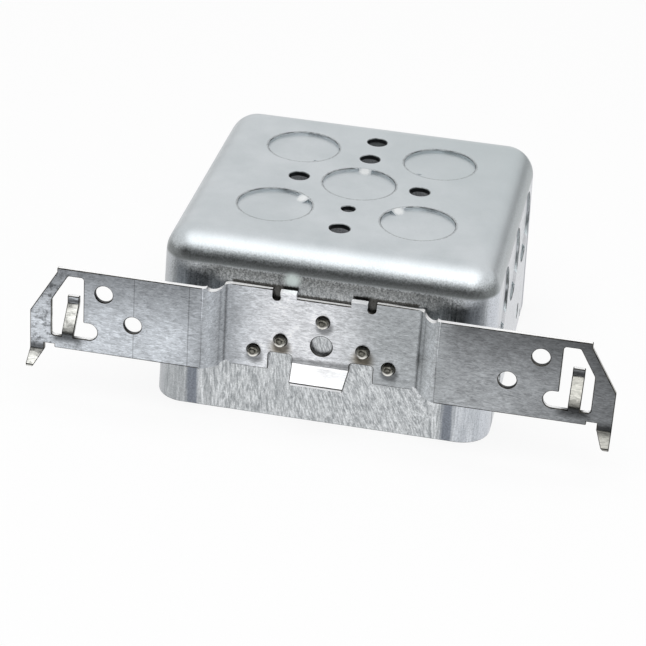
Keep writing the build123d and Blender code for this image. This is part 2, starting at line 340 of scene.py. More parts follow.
def turned_pieces(name, places, tree, values):
    """Plain mesh of turned pieces that stand on places, each a point and an outward direction."""
    mesh = bpy.data.meshes.new(name)
    mesh.from_pydata([point for point, outward in places], [], [])
    facing = mesh.attributes.new("facing", "FLOAT_VECTOR", "POINT")
    for spot, (point, outward) in enumerate(places):
        facing.data[spot].vector = outward
    piece = bpy.data.objects.new(name, mesh)
    bpy.context.scene.collection.objects.link(piece)
    modifier = piece.modifiers.new(name, "NODES")
    modifier.node_group = tree
    for socket in tree.interface.items_tree:
        if socket.in_out == "INPUT" and socket.name in values:
            modifier[socket.identifier] = values[socket.name]
    plain_mesh(piece)
    if not piece.data.polygons:
        raise RuntimeError(name + " came out empty")
    piece.data.shade_smooth()
    piece.data.set_sharp_from_angle(angle=TURNED_EDGE)
    return piece


def distance_to(add, across, up, places):
    """Least distance, in the plane of a wall or of the back, to any of some places on it."""
    spot = add("ShaderNodeCombineXYZ", {"X": across, "Y": up})
    least = None
    for place in places:
        away = add("ShaderNodeVectorMath", [spot, (*place, 0)], operation="DISTANCE")
        if least:
            away = add(MATH, [least, away], operation="MINIMUM")
        least = away
    return least


def away_from(add, across, place):
    """Distance to either side of a place."""
    moved = add(MATH, [across, -place], operation="ADD")
    return add(MATH, [moved], operation="ABSOLUTE")


def seen_share(add):
    """Whether a ray comes from the camera, straight or by way of a mirror or glass."""
    path = add("ShaderNodeLightPath").node.outputs
    seen = path["Is Camera Ray"]
    for other in (path["Is Glossy Ray"], path["Is Transmission Ray"]):
        seen = add(MATH, [seen, other], operation="MAXIMUM")
    return seen


# Galvanised sheet, deep drawn: pale satin zinc on the untouched back, a dark grain where the shoulders were
# stretched, and fine scratchy streaks down the walls where the die rubbed them. Painted dark reflection lies
# on the walls under the shoulder and beside the corners, and painted shade inside the holes and behind
# the bracket.
def drawn_galvanised_steel(finish):
    material, add, shader, coords, (x, y, z) = new_material("drawn galvanised steel")
    normal = add("ShaderNodeNewGeometry").node.outputs["Normal"]
    facing = add("ShaderNodeSeparateXYZ", [normal]).node.outputs
    upright = add(MATH, [facing["Z"]], operation="ABSOLUTE")
    width_x = add(MATH, [x], operation="ABSOLUTE")
    width_y = add(MATH, [y], operation="ABSOLUTE")
    outside = add(MATH, [width_x, width_y], operation="MAXIMUM")
    along = add(MATH, [width_x, width_y], operation="MINIMUM")
    on_side = add(MATH, [width_x, width_y], operation="GREATER_THAN")
    near_half = add(MATH, [y, 0.0], operation="LESS_THAN")
    far_half = add(MATH, [y, 0.0], operation="GREATER_THAN")
    right_half = add(MATH, [x, 0.0], operation="GREATER_THAN")
    near_side = add(FADE, {"Value": facing["Y"], "From Min": -0.1, "From Max": -0.5, "To Max": near_half})
    outer = add(
        FADE, {"Value": outside, "From Min": SHOULDER_START - 1.5 * MM, "From Max": SHOULDER_START}
    )
    specks = add(NOISE, {"Vector": coords, "Scale": per_mm(SPECK_WIDTH), "Detail": 3, "Roughness": 0.7})
    grainy = add(MATH, [specks, 0.2, -0.1], operation="MULTIPLY_ADD")
    grainy = add(MATH, [upright, grainy], operation="ADD")

    # Walls, the lower bend over them, and the stretched band between the two, by how upright the surface is
    zones = ((grainy, 0.16, 0.03), (upright, 0.95, 0.35), (grainy, 0.62, 0.3))
    wall, bent, stretched = (
        add(FADE, {"Value": value, "From Min": start, "From Max": end, "To Max": outer}, **SOFT)
        for value, start, end in zones
    )
    off_wall = add(MATH, [1.0, wall], operation="SUBTRACT")
    # Only on the bracket's wall does the band darken in full: painted dark reflection over the stretched
    # zinc
    most = add(FADE, {"Value": near_side, "To Min": 0.25})
    for share in (off_wall, most):
        stretched = add(MATH, [stretched, share], operation="MULTIPLY")

    # Back: cloudy zinc, greener towards its far right corner, and bright where it is smeared over some ties
    clouds = add(NOISE, {"Vector": coords, "Scale": per_mm(CLOUD_WIDTH), "Detail": 5, "Roughness": 0.6})
    cloud_tone = add(FADE, {"Value": clouds, "From Min": 0.36, "From Max": 0.64})
    far_right = add(MATH, [x, y], operation="ADD")
    far_share = add(FADE, {"Value": far_right, "From Min": 0.0, "From Max": 85 * MM, "To Max": 0.8})
    tie_away = distance_to(add, x, y, BRIGHT_TIES)
    tie_away = add(MATH, [specks, 2.0 * MM, tie_away], operation="MULTIPLY_ADD")
    smeared = add(FADE, {"Value": tie_away, "From Min": 2.9 * MM, "From Max": 2.0 * MM, "To Max": 0.75})
    back = finish.zinc_colour
    on_back = ((cloud_tone, finish.zinc_shade), (far_share, finish.zinc_far), (smeared, finish.smeared_zinc))
    for share, tone in on_back:
        back = add(MIX, {"Factor": share, "A": back, "B": tone}, data_type="RGBA")

    # Thin broken line round each knockout, and painted shade on the bare steel inside the holes through the
    # back
    off_ring = away_from(add, distance_to(add, x, y, BACK_KNOCKOUTS), KNOCKOUT_RADIUS + 0.42 * MM)
    off_ring = add(MATH, [specks, 1.6 * MM, off_ring], operation="MULTIPLY_ADD")
    ring = add(FADE, {"Value": off_ring, "From Min": 0.75 * MM, "From Max": 1.15 * MM, "To Min": 0.55})
    shaded_hole_walls = []
    for places, radius in ((BACK_HOLES, BACK_HOLE_RADIUS), ([GROUND_HOLE], GROUND_HOLE_RADIUS)):
        away = distance_to(add, x, y, places)
        start, end = radius + 0.05 * MM, radius + 0.2 * MM
        shaded_hole_walls.append(add(FADE, {"Value": away, "From Min": start, "From Max": end, "To Min": 0.12}))

    # Grain, fine on the back and coarse where the lower bend was stretched
    grit = add(
        FADE, {"Value": specks, "From Min": 0.34, "From Max": 0.62, "To Min": 0.62, "To Max": 1.06}
    )
    grit_share = add(FADE, {"Value": bent, "To Min": 0.14, "To Max": 0.8})

    # Draw streaks, measured along each wall: upright at its corners, and crumpled and slanting on one half
    x_to_y = add(MATH, [y, x], operation="SUBTRACT")
    y_to_x = add(MATH, [x, y], operation="SUBTRACT")
    run = add(MATH, [on_side, x_to_y, x], operation="MULTIPLY_ADD")
    depth = add(MATH, [on_side, y_to_x, y], operation="MULTIPLY_ADD")
    middle = add(FADE, {"Value": along, "From Min": 36 * MM, "From Max": 29 * MM})
    crumpled = {"Value": run, "From Min": CRUMPLED_RUN[0], "From Max": CRUMPLED_RUN[1]}
    slant = add(FADE, {**crumpled, "To Min": 0.03, "To Max": 0.42})
    slant = add(MATH, [slant, middle], operation="MULTIPLY")
    shortness = add(FADE, {**crumpled, "To Min": 0.14, "To Max": 0.26})
    shortness = add(MATH, [shortness, middle, 0.04], operation="MULTIPLY_ADD")
    sheared = add(MATH, [z, slant, run], operation="MULTIPLY_ADD")
    drawn_out = add(MATH, [z, shortness], operation="MULTIPLY")
    rubbed = add("ShaderNodeCombineXYZ", {"X": sheared, "Y": depth, "Z": drawn_out})
    streaks = add(
        NOISE,
        {"Vector": rubbed, "Scale": per_mm(STREAK_WIDTH), "Detail": 4, "Roughness": 0.7, "Distortion": 0.5},
    )
    near_wall = add(MATH, [wall, near_side], operation="MULTIPLY")
    high_up = add(FADE, {"Value": z, "From Min": 38 * MM, "From Max": 46 * MM, "To Max": near_wall})
    soft_share = add(MATH, [high_up, 0.75], operation="MULTIPLY")
    streak_tone = add(MIX, {"Factor": soft_share, "A": streaks, "B": specks})
    streak_tone = add(FADE, {"Value": streak_tone, "From Min": 0.38, "From Max": 0.62})

    # Walls: smoother at the sides, with painted dark reflection in bands beside the corners, and past those
    # painted shade round the left corners and painted light, bluer, round the right ones
    smooth_side = add(MATH, [on_side, far_half], operation="MAXIMUM")
    smooth_side = add(MATH, [smooth_side, 0.6], operation="MULTIPLY")
    # Past the bands: painted shade round the left corners and painted light, bluer, round the right ones
    past_band = add(
        FADE,
        {"Value": along, "From Min": DARK_BAND_PLACE, "From Max": DARK_BAND_PLACE + 3 * MM, "To Max": 0.6},
    )
    corner_tone = add(
        MIX, {"Factor": right_half, "A": finish.corner_shade, "B": finish.corner_light}, data_type="RGBA"
    )
    # Bands beside the corners: painted dark reflection, fading out upwards
    off_band = away_from(add, along, DARK_BAND_PLACE)
    off_band = add(MATH, [streaks, 1.2 * MM, off_band], operation="MULTIPLY_ADD")
    band_end = add(
        FADE, {"Value": z, "From Min": 28 * MM, "From Max": 40 * MM, "To Min": 0.92, "To Max": 0.1}
    )
    band = add(
        FADE, {"Value": off_band, "From Min": 3.2 * MM, "From Max": 1.5 * MM, "To Max": band_end}, **SOFT
    )
    walls = finish.rubbed_dark
    on_walls = (
        (streak_tone, finish.rubbed_light),
        (smooth_side, finish.side_colour),
        (past_band, corner_tone),
        (band, finish.band_reflection_colour),
    )
    for share, tone in on_walls:
        walls = add(MIX, {"Factor": share, "A": walls, "B": tone}, data_type="RGBA")

    # Pale oxide where the sheet dried beside a lug, and patches of painted dark reflection near the corners
    # of the bracket's wall
    oxide_away = distance_to(add, x, z, [OXIDE_PLACE])
    oxide = add(
        FADE, {"Value": oxide_away, "From Min": 3.4 * MM, "From Max": 0.8 * MM, "To Max": 0.75}, **SOFT
    )
    reflection_patch_away = distance_to(add, x, z, REFLECTION_PATCHES)
    reflection_patch_away = add(MATH, [streaks, 5 * MM, reflection_patch_away], operation="MULTIPLY_ADD")
    reflection_patch = add(
        FADE, {"Value": reflection_patch_away, "From Min": 9 * MM, "From Max": 4 * MM, "To Max": 0.4}, **SOFT
    )

    # Painted shade behind the bracket's two relief slots and along its top edge
    relief_away = distance_to(add, x, z, RELIEF_MIDDLES)
    shade_behind = add(FADE, {"Value": relief_away, "From Min": 3.4 * MM, "From Max": 2.0 * MM, "To Max": 0.85})
    in_saddle = add(MATH, [width_x, SADDLE_HALF_WIDTH], operation="LESS_THAN")
    over_edge = add(MATH, [in_saddle, SADDLE_DROP, z], operation="MULTIPLY_ADD")
    over_edge = away_from(add, over_edge, BRACKET_TOP + 0.3 * MM)
    past_edge = add(MATH, [width_x, -JOGGLE_REACH[0]], operation="ADD")
    over_edge = add(MATH, [over_edge, past_edge], operation="MAXIMUM")
    over_edge = add(MATH, [specks, 1.0 * MM, over_edge], operation="MULTIPLY_ADD")
    gap_shade_behind = add(FADE, {"Value": over_edge, "From Min": 1.3 * MM, "From Max": 0.9 * MM, "To Max": 0.85})
    shade_behind = add(MATH, [shade_behind, gap_shade_behind], operation="MAXIMUM")
    oxide, reflection_patch, shade_behind = (
        add(MATH, [mark, near_side], operation="MULTIPLY") for mark in (oxide, reflection_patch, shade_behind)
    )

    # Painted dark reflection high on the bracket's wall, away from its corners, joins the stretched band
    off_corner = add(FADE, {"Value": along, "From Min": 39 * MM, "From Max": 33 * MM, "To Max": high_up})
    stretched = add(MATH, [stretched, off_corner], operation="MAXIMUM")

    colour = back
    layers = (
        (wall, walls, "MIX"),
        (grit_share, grit, "MULTIPLY"),
        (stretched, finish.stretch_and_reflection_tone, "MULTIPLY"),
        (reflection_patch, finish.reflection_patch_tone, "MULTIPLY"),
        *((1.0, tone, "MULTIPLY") for tone in (ring, *shaded_hole_walls)),
        (oxide, finish.oxide_colour, "MIX"),
        (shade_behind, finish.shade_behind_colour, "MIX"),
    )
    for share, tone, blend in layers:
        colour = add(MIX, {"Factor": share, "A": colour, "B": tone}, data_type="RGBA", blend_type=blend)

    satin = add(FADE, {"Value": specks, "From Min": 0.3, "From Max": 0.7, "To Min": 0.28, "To Max": 0.42})
    streak_relief = add(MATH, [streaks, wall], operation="MULTIPLY")
    grain_depth = add(FADE, {"Value": bent, "To Min": 0.12, "To Max": 1.8})
    relief = add(MATH, [specks, grain_depth, streak_relief], operation="MULTIPLY_ADD")
    bump = add("ShaderNodeBump", {"Height": relief, "Strength": 0.6, "Distance": 0.03 * MM})
    set_inputs(shader, {"Base Color": colour, "Metallic": 1.0, "Roughness": satin, "Normal": bump})
    return material


# Galvanised strip, rolled and folded: a fine wavy grain along its length, a greyer zinc than the box, with
# stains round the rivets, two scored lines, and bright sheared edges. Painted light and shade lie along the
# strip, painted shade at the folds, bends and holes and under the rivets, a painted gleam over the rivets,
# and a painted highlight on the sheared edges that look up and on the ledge.
def rolled_galvanised_steel(finish):
    material, add, shader, coords, (x, _, z) = new_material("rolled galvanised steel")
    normal = add("ShaderNodeNewGeometry").node.outputs["Normal"]
    turned = add("ShaderNodeSeparateXYZ", [normal]).node.outputs
    half_x = add(MATH, [x], operation="ABSOLUTE")

    # Tone along the strip: zinc with a painted sheen on the left arm, painted reflection in the middle and
    # painted shade to the right
    zinc = finish.strip_left_sheen
    tones = (finish.strip_centre_reflection, finish.strip_right_shade, finish.strip_end_shade)
    for (start, end), tone in zip(STRIP_FADES, tones):
        share = add(FADE, {"Value": x, "From Min": start, "From Max": end}, **SOFT)
        zinc = add(MIX, {"Factor": share, "A": zinc, "B": tone}, data_type="RGBA")

    # Rolling grain, blotches and pebbling
    drawn_out = add("ShaderNodeMapping", {"Vector": coords, "Scale": (0.22, 1.0, 1.0)})
    grain = add(
        NOISE,
        {
            "Vector": drawn_out,
            "Scale": per_mm(GRAIN_WIDTH),
            "Detail": 3,
            "Roughness": 0.7,
            "Distortion": 1.2,
        },
    )
    blotches = add(NOISE, {"Vector": coords, "Scale": per_mm(BLOTCH_WIDTH), "Detail": 4, "Roughness": 0.6})
    pebbled = add("ShaderNodeMapping", {"Vector": coords, "Scale": (0.4, 1.0, 1.0)})
    pebbles = add(
        NOISE,
        {"Vector": pebbled, "Scale": per_mm(PEBBLE_WIDTH), "Detail": 3, "Roughness": 0.6, "Distortion": 0.9},
    )
    patterns = (
        (grain, 0.34, 0.66, 0.66, 1.2),
        (blotches, 0.34, 0.66, 0.9, 1.08),
        (pebbles, 0.36, 0.6, 0.8, 1.06),
    )
    shade, *marks = (
        add(FADE, {"Value": value, "From Min": low, "From Max": high, "To Min": dark, "To Max": light})
        for value, low, high, dark, light in patterns
    )

    # Arms: painted shade towards their top edge and painted light at their foot, painted shade on one
    # towards its end, and the other scuffed there
    on_arm = {"Value": half_x, "From Min": 34 * MM, "From Max": 40 * MM, "To Min": 1.0}
    arm_top, arm_foot = (add(FADE, {**on_arm, "To Max": tone}) for tone in (0.48, 1.16))
    arm_shade = add(
        FADE,
        {"Value": z, "From Min": 45 * MM, "From Max": 24 * MM, "To Min": arm_top, "To Max": arm_foot},
        **SOFT,
    )
    leaning = add(FADE, {"Value": turned["Y"], "From Min": -0.97, "From Max": -0.9})
    end_tone = add(FADE, {"Value": leaning, "To Min": 0.5, "To Max": 0.7})
    end_shade = add(
        FADE, {"Value": x, "From Min": 55 * MM, "From Max": 84 * MM, "To Min": 1.0, "To Max": end_tone}
    )
    scuff_tone = add(
        FADE, {"Value": x, "From Min": -66 * MM, "From Max": -80 * MM, "To Min": 1.0, "To Max": 0.35}
    )
    scuffs = add(NOISE, {"Vector": coords, "Scale": per_mm(SCUFF_WIDTH), "Detail": 5, "Roughness": 0.7})
    scuff_shade = add(
        FADE, {"Value": scuffs, "From Min": 0.5, "From Max": 0.62, "To Min": 1.0, "To Max": scuff_tone}
    )
    marks += [arm_shade, end_shade, scuff_shade]

    # Scored lines, painted shade along the fold lines, and a painted highlight and painted shade in bands
    # beside the
    # folds: place, width and middle tone
    lines = [
        *((x, place, 0.22 * MM, 0.5) for place in SCORE_LINES),
        (half_x, JOGGLE_START + 0.3 * MM, 0.5 * MM, 0.42),
        (half_x, JOGGLE_START + 1.7 * MM, 0.4 * MM, 0.72),
        (half_x, JOGGLE_START + 4.0 * MM, 2.6 * MM, 1.4),
        (x, -JOGGLE_START - 3.0 * MM, 11.0 * MM, 0.6),
    ]
    for across, place, width, tone in lines:
        away = away_from(add, across, place)
        marks.append(add(FADE, {"Value": away, "From Max": width, "To Min": tone}))

    # Softer marks: painted shade at the bends, a painted shadow under each rivet and a painted gleam over
    # it, and painted shade in the holes
    off_bends = []
    for middle, half_width, height in (LEDGE_BEND, TONGUE_ROOT, TONGUE_BEND, SPUR_BEND):
        past_end = add(MATH, [away_from(add, half_x, middle), -half_width], operation="ADD")
        off_bend = add(MATH, [away_from(add, z, height), past_end], operation="MAXIMUM")
        off_bends.append(add(MATH, [grain, 0.8 * MM, off_bend], operation="MULTIPLY_ADD"))
    off_ledge, off_root, off_tongue, off_spur = off_bends
    under_rivets = [(across + 0.4 * MM, up - 1.5 * MM) for across, up in RIVET_PLACES]
    over_rivets = [(across, up + 1.0 * MM) for across, up in RIVET_PLACES]
    soft_marks = [
        (off_ledge, 0.5 * MM, 1.9 * MM, 0.45),
        (off_root, 0.8 * MM, 4.2 * MM, 0.2),
        (off_tongue, 0.6 * MM, 1.6 * MM, 0.25),
        (off_spur, 0.8 * MM, 2.8 * MM, 0.25),
        (distance_to(add, x, z, under_rivets), 1.7 * MM, 3.5 * MM, 0.35),
        (distance_to(add, x, z, over_rivets), 2.2 * MM, 4.8 * MM, 1.2),
    ]
    holes = (
        ([CENTRE_HOLE], CENTRE_HOLE_RADIUS, 0.4 * MM, 0.06),
        (ARM_HOLES, ARM_HOLE_RADIUS, 0.3 * MM, 0.04),
        (RELIEF_FLOORS, RELIEF_RADIUS, 0.3 * MM, 0.04),
    )
    for places, radius, fade, tone in holes:
        soft_marks.append((distance_to(add, x, z, places), radius, radius + fade, tone))
    for away, start, end, tone in soft_marks:
        mark = add(FADE, {"Value": away, "From Min": start, "From Max": end, "To Min": tone}, **SOFT)
        marks.append(mark)
    hole_marks = marks[-len(holes):]
    for mark in marks:
        shade = add(MATH, [shade, mark], operation="MULTIPLY")

    # Brown oil under the inner rivets, and a warmer, darker tone where the tongues and spurs lean out
    stained = [(across, up - 2.6 * MM) for across, up in INNER_RIVETS]
    stain_away = distance_to(add, x, z, stained)
    stain = add(
        FADE, {"Value": stain_away, "From Min": 4.6 * MM, "From Max": 1.2 * MM, "To Max": 0.75}, **SOFT
    )
    lean_tint = add(MATH, [half_x, LEAN_TINT_START], operation="GREATER_THAN")
    for share in (leaning, 0.7):
        lean_tint = add(MATH, [lean_tint, share], operation="MULTIPLY")

    # Sheared edges that look up are matt and bright, as cut zinc and painted highlight, and the ledge is
    # given a painted highlight too
    sideways = add(MATH, [turned["Y"]], operation="ABSOLUTE")
    cut_and_highlight = add(FADE, {"Value": sideways, "From Min": 0.42, "From Max": 0.2})
    looks_up = add(FADE, {"Value": turned["Z"], "From Min": 0.3, "From Max": 0.8})
    for share in (looks_up, *hole_marks):
        cut_and_highlight = add(MATH, [cut_and_highlight, share], operation="MULTIPLY")
    _, ledge_half_width, ledge_top = LEDGE_BEND
    at_middle = add(MATH, [half_x, ledge_half_width + 0.2 * MM], operation="LESS_THAN")
    on_ledge = add(FADE, {"Value": z, "From Min": ledge_top, "From Max": ledge_top - 1.2 * MM})
    for share in (leaning, at_middle, 0.5):
        on_ledge = add(MATH, [on_ledge, share], operation="MULTIPLY")
    cut_and_highlight = add(MATH, [cut_and_highlight, on_ledge], operation="MAXIMUM")
    layers = (
        (stain, finish.stain_colour, "MIX"),
        (lean_tint, finish.lean_tint_colour, "MIX"),
        (1.0, shade, "MULTIPLY"),
        (cut_and_highlight, finish.cut_and_highlight_colour, "MIX"),
    )
    for share, tone, blend in layers:
        zinc = add(MIX, {"Factor": share, "A": zinc, "B": tone}, data_type="RGBA", blend_type=blend)

    polish = add(FADE, {"Value": cut_and_highlight, "To Min": 1.0, "To Max": 0.15})
    satin = add(FADE, {"Value": grain, "From Min": 0.3, "From Max": 0.7, "To Min": 0.28, "To Max": 0.4})
    bump = add("ShaderNodeBump", {"Height": grain, "Strength": 0.5, "Distance": 0.015 * MM})
    set_inputs(shader, {"Base Color": zinc, "Metallic": polish, "Roughness": satin, "Normal": bump})
    return material


# Sheared edge of galvanised sheet: the zinc is torn off, so a thin broken line of darker steel shows. On the
# bracket it is near black, painted shade along the edges.
def sheared_steel(name, dark, light):
    material, add, shader, coords, _ = new_material(name)
    torn = add(NOISE, {"Vector": coords, "Scale": per_mm(TORN_WIDTH), "Detail": 3, "Roughness": 0.6})
    tone = add(FADE, {"Value": torn, "From Min": 0.4, "From Max": 0.62})
    colour = add(MIX, {"Factor": tone, "A": dark, "B": light}, data_type="RGBA")
    set_inputs(shader, {"Base Color": colour, "Metallic": 1.0, "Roughness": 0.45})
    return material


# Zinc-plated rivet wire, upset cold: duller and darker than the sheet, its end dished by the tool with a
# dark ring round the dish, its metal partly oily, and its dome given a painted dark reflection on top and a
# painted highlight underneath.
def plated_rivet_steel(finish):
    material, add, shader, coords, (x, _, z) = new_material("plated rivet steel")
    normal = add("ShaderNodeNewGeometry").node.outputs["Normal"]
    facing = add("ShaderNodeSeparateXYZ", [normal]).node.outputs
    specks = add(
        NOISE, {"Vector": coords, "Scale": per_mm(RIVET_SPECK_WIDTH), "Detail": 3, "Roughness": 0.6}
    )
    tone = add(FADE, {"Value": specks, "From Min": 0.35, "From Max": 0.65})
    # Painted highlight on the dome's lower side, and painted dark reflection on its top
    lower_highlight = add(FADE, {"Value": facing["Z"], "From Min": 0.02, "From Max": -0.3, "To Max": 0.95})
    upper_dark_reflection = add(FADE, {"Value": facing["Z"], "From Min": 0.85, "From Max": 0.5, "To Min": 0.06})
    # Dark ring round the dish, a little above the rivet's axis
    middle = distance_to(add, x, z, [(across, up + 0.45 * MM) for across, up in RIVET_PLACES])
    dish = add(FADE, {"Value": middle, "From Min": 0.3 * MM, "From Max": 0.9 * MM}, **SOFT)
    ring = away_from(add, middle, 0.75 * MM)
    dish_ring = add(FADE, {"Value": ring, "From Min": 0.05 * MM, "From Max": 0.35 * MM, "To Min": 0.4})
    colour = finish.rivet_dark
    layers = (
        (tone, finish.rivet_light, "MIX"),
        (lower_highlight, finish.rivet_lower_highlight, "MIX"),
        (1.0, dish_ring, "MULTIPLY"),
        (1.0, upper_dark_reflection, "MULTIPLY"),
    )
    for share, layer, blend in layers:
        colour = add(MIX, {"Factor": share, "A": colour, "B": layer}, data_type="RGBA", blend_type=blend)
    bump = add("ShaderNodeBump", {"Height": dish, "Strength": 1.0, "Distance": 0.07 * MM})
    set_inputs(shader, {"Base Color": colour, "Metallic": 1.0, "Roughness": 0.25, "Normal": bump})
    return material


# Seamless white paper: matt, shown at nearly full white round the object and dark in the shade under it.
# It is clear from below, so that the open side of the box can be seen.
def white_paper():
    material, add, shader, _, (x, y, _) = new_material("white paper")
    set_inputs(shader, {"Base Color": linear("F4F4F4"), "Roughness": 0.9})
    width_x = add(MATH, [x], operation="ABSOLUTE")
    width_y = add(MATH, [y], operation="ABSOLUTE")
    outside = add(MATH, [width_x, width_y], operation="MAXIMUM")
    outside = add(MATH, [outside, HALF_WIDTH - 4 * MM], operation="GREATER_THAN")
    white = add(FADE, {"Value": outside, "To Min": 0.12, "To Max": 0.86})
    share = add(MATH, [seen_share(add), white], operation="MULTIPLY")
    glow = add("ShaderNodeEmission", {"Strength": 1.0})
    paper = add("ShaderNodeMixShader", [share, shader.outputs[0], glow])
    from_below = add("ShaderNodeNewGeometry").node.outputs["Backfacing"]
    clear = add("ShaderNodeBsdfTransparent")
    paper = add("ShaderNodeMixShader", [from_below, paper, clear])
    set_inputs(material.node_tree.nodes["Material Output"], {"Surface": paper})
    return material


# Studio card: a field of light or dark for the metal to mirror, which fades along one axis.
def studio_card(name, axis, fade):
    material, add, _, _, axes = new_material(name)
    (start, first), (end, last) = fade
    strength = add(
        FADE,
        {"Value": axes[axis], "From Min": start, "From Max": end, "To Min": first, "To Max": last},
        **SOFT,
    )
    glow = add("ShaderNodeEmission", {"Strength": strength})
    set_inputs(material.node_tree.nodes["Material Output"], {"Surface": glow})
    return material


def length_of(name, description, size):
    """Length property with its default in metres."""
    return FloatProperty(name=name, description=description, default=size, unit="LENGTH")


def colour_of(name, description, hex_colour):
    """Colour property with its default from a hex value."""
    colour = linear(hex_colour)
    return FloatVectorProperty(
        name=name, description=description, subtype="COLOR", size=4, min=0, max=1, default=colour
    )


class OutletBoxSizes(bpy.types.PropertyGroup):
    """Sizes of what the dressing adds."""

    box_edge: length_of("Box edge", "Rounding of the box's sheared edges", 0.25 * MM)
    bracket_edge: length_of("Bracket edge", "Rounding of the bracket's sheared edges", 0.26 * MM)
    rivet_shank: length_of("Rivet shank", "Radius of a rivet's shank", 1.9 * MM)
    rivet_end: length_of("Rivet end", "Radius of a rivet's set end", 1.85 * MM)
    rivet_dome: length_of("Rivet dome", "Rounding of a rivet's set end", 1.3 * MM)
    rivet_end_height: length_of("Rivet end height", "Height of a rivet's end over the bracket", 2.0 * MM)
    rivet_chamfer: length_of("Rivet chamfer", "Chamfer round a rivet's head", 0.5 * MM)
    rivet_head: length_of("Rivet head", "Radius of a rivet's head inside the box", 3.5 * MM)
    rivet_head_height: length_of("Rivet head height", "Height of a rivet's head", 1.2 * MM)


class OutletBoxFinishes(bpy.types.PropertyGroup):
    """Colours of the finishes."""

    zinc_colour: colour_of("Zinc", "Untouched zinc on the back of the box", "C9CED1")
    zinc_shade: colour_of("Zinc shade", "Cloudier zinc on the back of the box", "BFC5C8")
    zinc_far: colour_of("Zinc far", "Greener zinc towards one corner of the back", "B6BEC0")
    smeared_zinc: colour_of("Smeared zinc", "Bright zinc over the knockouts' ties", "F4F6F6")
    # Stretched band, with painted dark reflection on the bracket's wall
    stretch_and_reflection_tone: colour_of("Stretch and reflection", "Darkening of the stretched band, and painted dark reflection on the bracket's wall", "A9A9A7")
    rubbed_light: colour_of("Rubbed light", "Bright draw streaks on the walls", "EEF1F3")
    rubbed_dark: colour_of("Rubbed dark", "Dark draw streaks on the walls", "A1A5A8")
    side_colour: colour_of("Side", "Smoother zinc of the side walls", "E4E6EB")
    # Painted shade round the left corners and painted light round the right ones
    corner_shade: colour_of("Corner shade", "Painted shade round the left corners", "A6AAAD")
    corner_light: colour_of("Corner light", "Lighter, bluer zinc round the right corners: painted light", "D2D7DF")
    # Painted dark reflection in bands beside the corners
    band_reflection_colour: colour_of("Band reflection", "Painted dark reflection in bands beside the corners", "7E848E")
    oxide_colour: colour_of("Oxide", "Pale patch on the bracket's wall", "DCE8E5")
    # Painted dark reflection in patches on the bracket's wall
    reflection_patch_tone: colour_of("Reflection patch", "Painted dark reflection in patches on the bracket's wall", "686C6C")
    # Painted shade behind the bracket's relief slots and top edge
    shade_behind_colour: colour_of("Gap shade", "Painted shade behind the bracket's relief slots and top edge", "33302A")
    box_edge_dark: colour_of("Box edge dark", "Bare steel along the box's sheared edges", "55595B")
    box_edge_light: colour_of("Box edge light", "Smeared zinc along the box's sheared edges", "9EA3A5")
    # Zinc along the bracket, with painted sheen, reflection and shade
    strip_left_sheen: colour_of("Strip left", "Zinc of the bracket's left arm, with a painted sheen", "CDD2D8")
    strip_centre_reflection: colour_of("Strip centre", "Zinc of the bracket's middle, lightened by painted reflection", "F2F4F8")
    strip_right_shade: colour_of("Strip right", "Zinc right of the bracket's middle, darkened by painted shade", "B4B8BB")
    strip_end_shade: colour_of("Strip end", "Zinc of the bracket's right arm, darkened by painted shade", "A2A5A8")
    stain_colour: colour_of("Stain", "Oil under the inner rivets", "8C8069")
    # Warmer, darker tone where the tongues and spurs lean out
    lean_tint_colour: colour_of("Worn", "Warmer, darker tone where the tongues and spurs lean out", "BDBBB1")
    cut_and_highlight_colour: colour_of("Cut edge", "Bright sheared edges of the bracket, with painted highlight on them and on the ledge", "FAFAFA")
    edge_dark: colour_of("Edge dark", "Bare steel and painted shade along the bracket's sheared edges", "161412")
    edge_light: colour_of("Edge light", "Smeared zinc along the bracket's sheared edges", "56544F")
    rivet_light: colour_of("Rivet light", "Worn rivet metal", "93928A")
    rivet_dark: colour_of("Rivet dark", "Oily rivet metal", "4C4A44")
    rivet_lower_highlight: colour_of("Rivet clean", "Painted highlight on the lower side of each dome", "F4F2EC")


class OUTLETBOX_OT_shell(bpy.types.Operator):
    """Dress the drawn box"""

    bl_idname = "outlet_box.shell"
    bl_label = "Dress Box Shell"

    def execute(self, context):
        finish = context.scene.outlet_box_finishes
        ties = tie_points()
        piece = softened_copy(
            "box_shell",
            "drawn_box",
            context.scene.outlet_box_sizes.box_edge,
            lambda spot: any((spot - tie).length < TIE_ZONE for tie in ties),
            drawn_galvanised_steel(finish),
            sheared_steel("sheared box edge", finish.box_edge_dark, finish.box_edge_light),
        )
        show(piece)
        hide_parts("box_shell")
        return {"FINISHED"}


